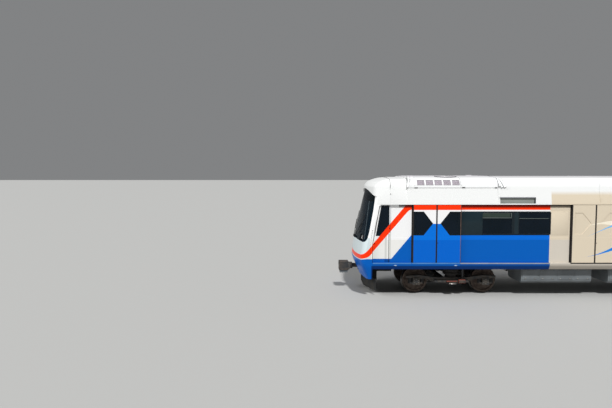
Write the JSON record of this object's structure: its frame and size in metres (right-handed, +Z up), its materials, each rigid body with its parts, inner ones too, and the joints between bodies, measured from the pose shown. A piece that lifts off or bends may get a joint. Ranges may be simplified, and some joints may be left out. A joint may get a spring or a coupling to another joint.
{
  "type": "elevated metro train lead cab car",
  "caption": "Lead cab car of an elevated metro train with outside-hung sliding doors, a sloped nose, roof air conditioners and two bogies.",
  "frame": {"origin": "middle of the car's length and width, at the lowest point of the wheel flanges", "axes": "+X towards the gangway end, so the cab nose looks along -X; +Y the car's right side; +Z up"},
  "size_m": [21.8, 3.12, 3.952],
  "materials": {
    "body_white": "gloss white paint",
    "cab_lining": "pale grey paint",
    "sill_blue": "gloss blue paint",
    "side_panel_paint": "gloss paint in blue and white with an orange stripe",
    "door_paint": "gloss paint in blue and white with an orange stripe",
    "tinted_glass": "tinted safety glass in black rubber",
    "bellows_rubber": "coated fabric and rubber folds",
    "desk_grey": "moulded grey plastic",
    "lamp_housing": "black housings with clear lenses",
    "driver_seat_fabric": "woven dark blue cloth",
    "saloon_fittings": "moulded blue seats with brushed steel poles",
    "coupler_steel": "cast steel, dark",
    "underfloor_grey": "matt grey paint with road dust",
    "bogie_steel": "dark grey paint, dusty",
    "bolster_steel": "dark grey paint over steel with black rubber air springs",
    "wheel_steel": "bright tread, rusty web"
  },
  "bodies": {
    "car_body": {"roof_shell": "body_white", "rear_end_wall": "body_white", "cab_mask": "body_white", "air_conditioner_front": "body_white", "air_conditioner_rear": "body_white", "cab_partition": "cab_lining", "underframe": "sill_blue", "gangway_bellows": "bellows_rubber", "windscreen": "tinted_glass", "driver_desk": "desk_grey", "headlamp_bar": "lamp_housing", "driver_seat": "driver_seat_fabric", "front_coupler": "coupler_steel", "rear_drawbar": "coupler_steel", "side_wall_left": "side_panel_paint", "cab_window_left": "tinted_glass", "seats_and_rails_left": "saloon_fittings", "window_1_left": "tinted_glass", "window_2_left": "tinted_glass", "window_3_left": "tinted_glass", "window_4_left": "tinted_glass", "side_wall_right": "side_panel_paint", "cab_window_right": "tinted_glass", "seats_and_rails_right": "saloon_fittings", "window_1_right": "tinted_glass", "window_2_right": "tinted_glass", "window_3_right": "tinted_glass", "window_4_right": "tinted_glass", "traction_inverter": "underfloor_grey", "brake_resistor": "underfloor_grey", "auxiliary_converter": "underfloor_grey", "battery_box": "underfloor_grey", "air_compressor": "underfloor_grey", "line_reactor": "underfloor_grey"},
    "cab_door": {"cab_door": "cab_lining"},
    "bogie_front": {"bogie_frame_front": "bogie_steel", "bolster_front": "bolster_steel"},
    "wheelset_1": {"wheelset_1": "wheel_steel"},
    "wheelset_2": {"wheelset_2": "wheel_steel"},
    "bogie_rear": {"bogie_frame_rear": "bogie_steel", "bolster_rear": "bolster_steel"},
    "wheelset_3": {"wheelset_3": "wheel_steel"},
    "wheelset_4": {"wheelset_4": "wheel_steel"},
    "door_1_left_front": {"door_1_left_front": "door_paint"},
    "door_1_left_rear": {"door_1_left_rear": "door_paint"},
    "door_1_right_front": {"door_1_right_front": "door_paint"},
    "door_1_right_rear": {"door_1_right_rear": "door_paint"},
    "door_2_left_front": {"door_2_left_front": "door_paint"},
    "door_2_left_rear": {"door_2_left_rear": "door_paint"},
    "door_2_right_front": {"door_2_right_front": "door_paint"},
    "door_2_right_rear": {"door_2_right_rear": "door_paint"},
    "door_3_left_front": {"door_3_left_front": "door_paint"},
    "door_3_left_rear": {"door_3_left_rear": "door_paint"},
    "door_3_right_front": {"door_3_right_front": "door_paint"},
    "door_3_right_rear": {"door_3_right_rear": "door_paint"},
    "door_4_left_front": {"door_4_left_front": "door_paint"},
    "door_4_left_rear": {"door_4_left_rear": "door_paint"},
    "door_4_right_front": {"door_4_right_front": "door_paint"},
    "door_4_right_rear": {"door_4_right_rear": "door_paint"}
  },
  "joints": [
    {"name": "cab_door_hinge", "type": "hinge", "parent": "car_body", "child": "cab_door", "pos_m": [-8.78, 0.27, 2.1], "axis": [0, 0, 1], "range_deg": [0, 90]},
    {"name": "yaw_bogie_front", "type": "hinge", "parent": "car_body", "child": "bogie_front", "pos_m": [-7.25, 0, 1], "axis": [0, 0, 1], "range_deg": [-4, 4]},
    {"name": "spin_wheelset_1", "type": "hinge", "parent": "bogie_front", "child": "wheelset_1", "pos_m": [-8.4, 0, 0.453], "axis": [0, 1, 0], "continuous": true},
    {"name": "spin_wheelset_2", "type": "hinge", "parent": "bogie_front", "child": "wheelset_2", "pos_m": [-6.1, 0, 0.453], "axis": [0, 1, 0], "continuous": true},
    {"name": "yaw_bogie_rear", "type": "hinge", "parent": "car_body", "child": "bogie_rear", "pos_m": [7.75, 0, 1], "axis": [0, 0, 1], "range_deg": [-4, 4]},
    {"name": "spin_wheelset_3", "type": "hinge", "parent": "bogie_rear", "child": "wheelset_3", "pos_m": [6.6, 0, 0.453], "axis": [0, 1, 0], "continuous": true},
    {"name": "spin_wheelset_4", "type": "hinge", "parent": "bogie_rear", "child": "wheelset_4", "pos_m": [8.9, 0, 0.453], "axis": [0, 1, 0], "continuous": true},
    {"name": "slide_door_1_left_front", "type": "slide", "parent": "car_body", "child": "door_1_left_front", "axis": [-1, 0, 0], "range_m": [0, 0.7]},
    {"name": "slide_door_1_left_rear", "type": "slide", "parent": "car_body", "child": "door_1_left_rear", "axis": [1, 0, 0], "range_m": [0, 0.7]},
    {"name": "slide_door_1_right_front", "type": "slide", "parent": "car_body", "child": "door_1_right_front", "axis": [-1, 0, 0], "range_m": [0, 0.7]},
    {"name": "slide_door_1_right_rear", "type": "slide", "parent": "car_body", "child": "door_1_right_rear", "axis": [1, 0, 0], "range_m": [0, 0.7]},
    {"name": "slide_door_2_left_front", "type": "slide", "parent": "car_body", "child": "door_2_left_front", "axis": [-1, 0, 0], "range_m": [0, 0.7]},
    {"name": "slide_door_2_left_rear", "type": "slide", "parent": "car_body", "child": "door_2_left_rear", "axis": [1, 0, 0], "range_m": [0, 0.7]},
    {"name": "slide_door_2_right_front", "type": "slide", "parent": "car_body", "child": "door_2_right_front", "axis": [-1, 0, 0], "range_m": [0, 0.7]},
    {"name": "slide_door_2_right_rear", "type": "slide", "parent": "car_body", "child": "door_2_right_rear", "axis": [1, 0, 0], "range_m": [0, 0.7]},
    {"name": "slide_door_3_left_front", "type": "slide", "parent": "car_body", "child": "door_3_left_front", "axis": [-1, 0, 0], "range_m": [0, 0.7]},
    {"name": "slide_door_3_left_rear", "type": "slide", "parent": "car_body", "child": "door_3_left_rear", "axis": [1, 0, 0], "range_m": [0, 0.7]},
    {"name": "slide_door_3_right_front", "type": "slide", "parent": "car_body", "child": "door_3_right_front", "axis": [-1, 0, 0], "range_m": [0, 0.7]},
    {"name": "slide_door_3_right_rear", "type": "slide", "parent": "car_body", "child": "door_3_right_rear", "axis": [1, 0, 0], "range_m": [0, 0.7]},
    {"name": "slide_door_4_left_front", "type": "slide", "parent": "car_body", "child": "door_4_left_front", "axis": [-1, 0, 0], "range_m": [0, 0.7]},
    {"name": "slide_door_4_left_rear", "type": "slide", "parent": "car_body", "child": "door_4_left_rear", "axis": [1, 0, 0], "range_m": [0, 0.7]},
    {"name": "slide_door_4_right_front", "type": "slide", "parent": "car_body", "child": "door_4_right_front", "axis": [-1, 0, 0], "range_m": [0, 0.7]},
    {"name": "slide_door_4_right_rear", "type": "slide", "parent": "car_body", "child": "door_4_right_rear", "axis": [1, 0, 0], "range_m": [0, 0.7]}
  ],
  "couplings": [
    {"joint": "slide_door_1_left_front", "follows": "slide_door_1_left_rear", "ratio": 1},
    {"joint": "slide_door_1_right_front", "follows": "slide_door_1_right_rear", "ratio": 1},
    {"joint": "slide_door_2_left_front", "follows": "slide_door_2_left_rear", "ratio": 1},
    {"joint": "slide_door_2_right_front", "follows": "slide_door_2_right_rear", "ratio": 1},
    {"joint": "slide_door_3_left_front", "follows": "slide_door_3_left_rear", "ratio": 1},
    {"joint": "slide_door_3_right_front", "follows": "slide_door_3_right_rear", "ratio": 1},
    {"joint": "slide_door_4_left_front", "follows": "slide_door_4_left_rear", "ratio": 1},
    {"joint": "slide_door_4_right_front", "follows": "slide_door_4_right_rear", "ratio": 1}
  ]
}
